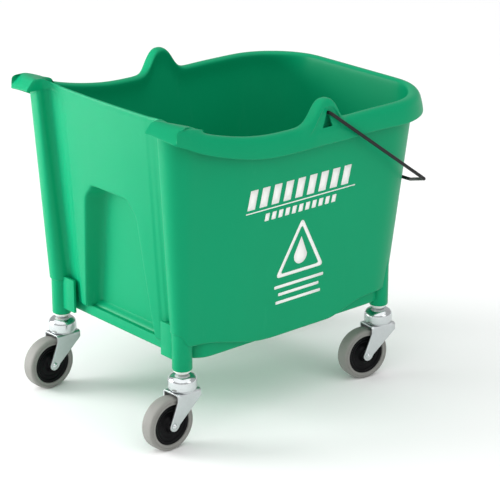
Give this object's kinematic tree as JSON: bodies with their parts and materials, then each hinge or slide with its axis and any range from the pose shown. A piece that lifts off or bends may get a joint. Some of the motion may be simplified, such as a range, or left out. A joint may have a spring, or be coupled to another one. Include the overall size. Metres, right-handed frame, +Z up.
{
  "type": "mop bucket",
  "caption": "Moulded plastic mop bucket with raised horns, a pouring lip and a wire bail, on trailing swivel casters; holds mop water and a wringer.",
  "frame": {"origin": "on the floor, midway along the bucket's length and width", "axes": "+X towards the pouring end, -X towards the wringer end with the horns, +Y to the left side, +Z up from the floor"},
  "size_m": [0.5328, 0.3934, 0.4725],
  "materials": {
    "green_plastic": "satin moulded",
    "black_wire": "satin coated",
    "zinc": "bright zinc plate",
    "steel": "ground",
    "white_nylon": "satin moulded",
    "black_plastic": "satin moulded",
    "grey_rubber": "matte non-marking"
  },
  "bodies": {
    "bucket": {"bucket": "green_plastic", "front_left_socket_insert": "white_nylon", "front_left_grip_ring": "steel", "front_left_stem": "zinc", "front_left_raceway_cap": "zinc", "front_left_kingpin_washer": "zinc", "front_right_socket_insert": "white_nylon", "front_right_grip_ring": "steel", "front_right_stem": "zinc", "front_right_raceway_cap": "zinc", "front_right_kingpin_washer": "zinc", "rear_left_socket_insert": "white_nylon", "rear_left_grip_ring": "steel", "rear_left_stem": "zinc", "rear_left_raceway_cap": "zinc", "rear_left_kingpin_washer": "zinc", "rear_right_socket_insert": "white_nylon", "rear_right_grip_ring": "steel", "rear_right_stem": "zinc", "rear_right_raceway_cap": "zinc", "rear_right_kingpin_washer": "zinc"},
    "bail": {"bail": "black_wire"},
    "front_left_swivel": {"front_left_fork": "zinc", "front_left_ball_set": "steel", "front_left_bushing": "steel", "front_left_axle": "zinc"},
    "front_left_wheel": {"front_left_hub": "black_plastic", "front_left_tyre": "grey_rubber"},
    "front_right_swivel": {"front_right_fork": "zinc", "front_right_ball_set": "steel", "front_right_bushing": "steel", "front_right_axle": "zinc"},
    "front_right_wheel": {"front_right_hub": "black_plastic", "front_right_tyre": "grey_rubber"},
    "rear_left_swivel": {"rear_left_fork": "zinc", "rear_left_ball_set": "steel", "rear_left_bushing": "steel", "rear_left_axle": "zinc"},
    "rear_left_wheel": {"rear_left_hub": "black_plastic", "rear_left_tyre": "grey_rubber"},
    "rear_right_swivel": {"rear_right_fork": "zinc", "rear_right_ball_set": "steel", "rear_right_bushing": "steel", "rear_right_axle": "zinc"},
    "rear_right_wheel": {"rear_right_hub": "black_plastic", "rear_right_tyre": "grey_rubber"}
  },
  "joints": [
    {"name": "bail_swing", "type": "hinge", "parent": "bucket", "child": "bail", "pos_m": [0.01802, 0, 0.4435], "axis": [0, -1, 0], "range_deg": [0, 200]},
    {"name": "front_left_swivel_turn", "type": "hinge", "parent": "bucket", "child": "front_left_swivel", "pos_m": [0.17153, 0.1393, 0], "axis": [0, 0, 1], "continuous": true},
    {"name": "front_left_wheel_spin", "type": "hinge", "parent": "front_left_swivel", "child": "front_left_wheel", "pos_m": [0.14452, 0.1393, 0.0381], "axis": [0, 1, 0], "continuous": true},
    {"name": "front_right_swivel_turn", "type": "hinge", "parent": "bucket", "child": "front_right_swivel", "pos_m": [0.17153, -0.1393, 0], "axis": [0, 0, 1], "continuous": true},
    {"name": "front_right_wheel_spin", "type": "hinge", "parent": "front_right_swivel", "child": "front_right_wheel", "pos_m": [0.14494, -0.13461, 0.0381], "axis": [0.1736, 0.9848, 0], "continuous": true},
    {"name": "rear_left_swivel_turn", "type": "hinge", "parent": "bucket", "child": "rear_left_swivel", "pos_m": [-0.20128, 0.1393, 0], "axis": [0, 0, 1], "continuous": true},
    {"name": "rear_left_wheel_spin", "type": "hinge", "parent": "rear_left_swivel", "child": "rear_left_wheel", "pos_m": [-0.22828, 0.1393, 0.0381], "axis": [0, 1, 0], "continuous": true},
    {"name": "rear_right_swivel_turn", "type": "hinge", "parent": "bucket", "child": "rear_right_swivel", "pos_m": [-0.20128, -0.1393, 0], "axis": [0, 0, 1], "continuous": true},
    {"name": "rear_right_wheel_spin", "type": "hinge", "parent": "rear_right_swivel", "child": "rear_right_wheel", "pos_m": [-0.22828, -0.1393, 0.0381], "axis": [0, 1, 0], "continuous": true}
  ]
}
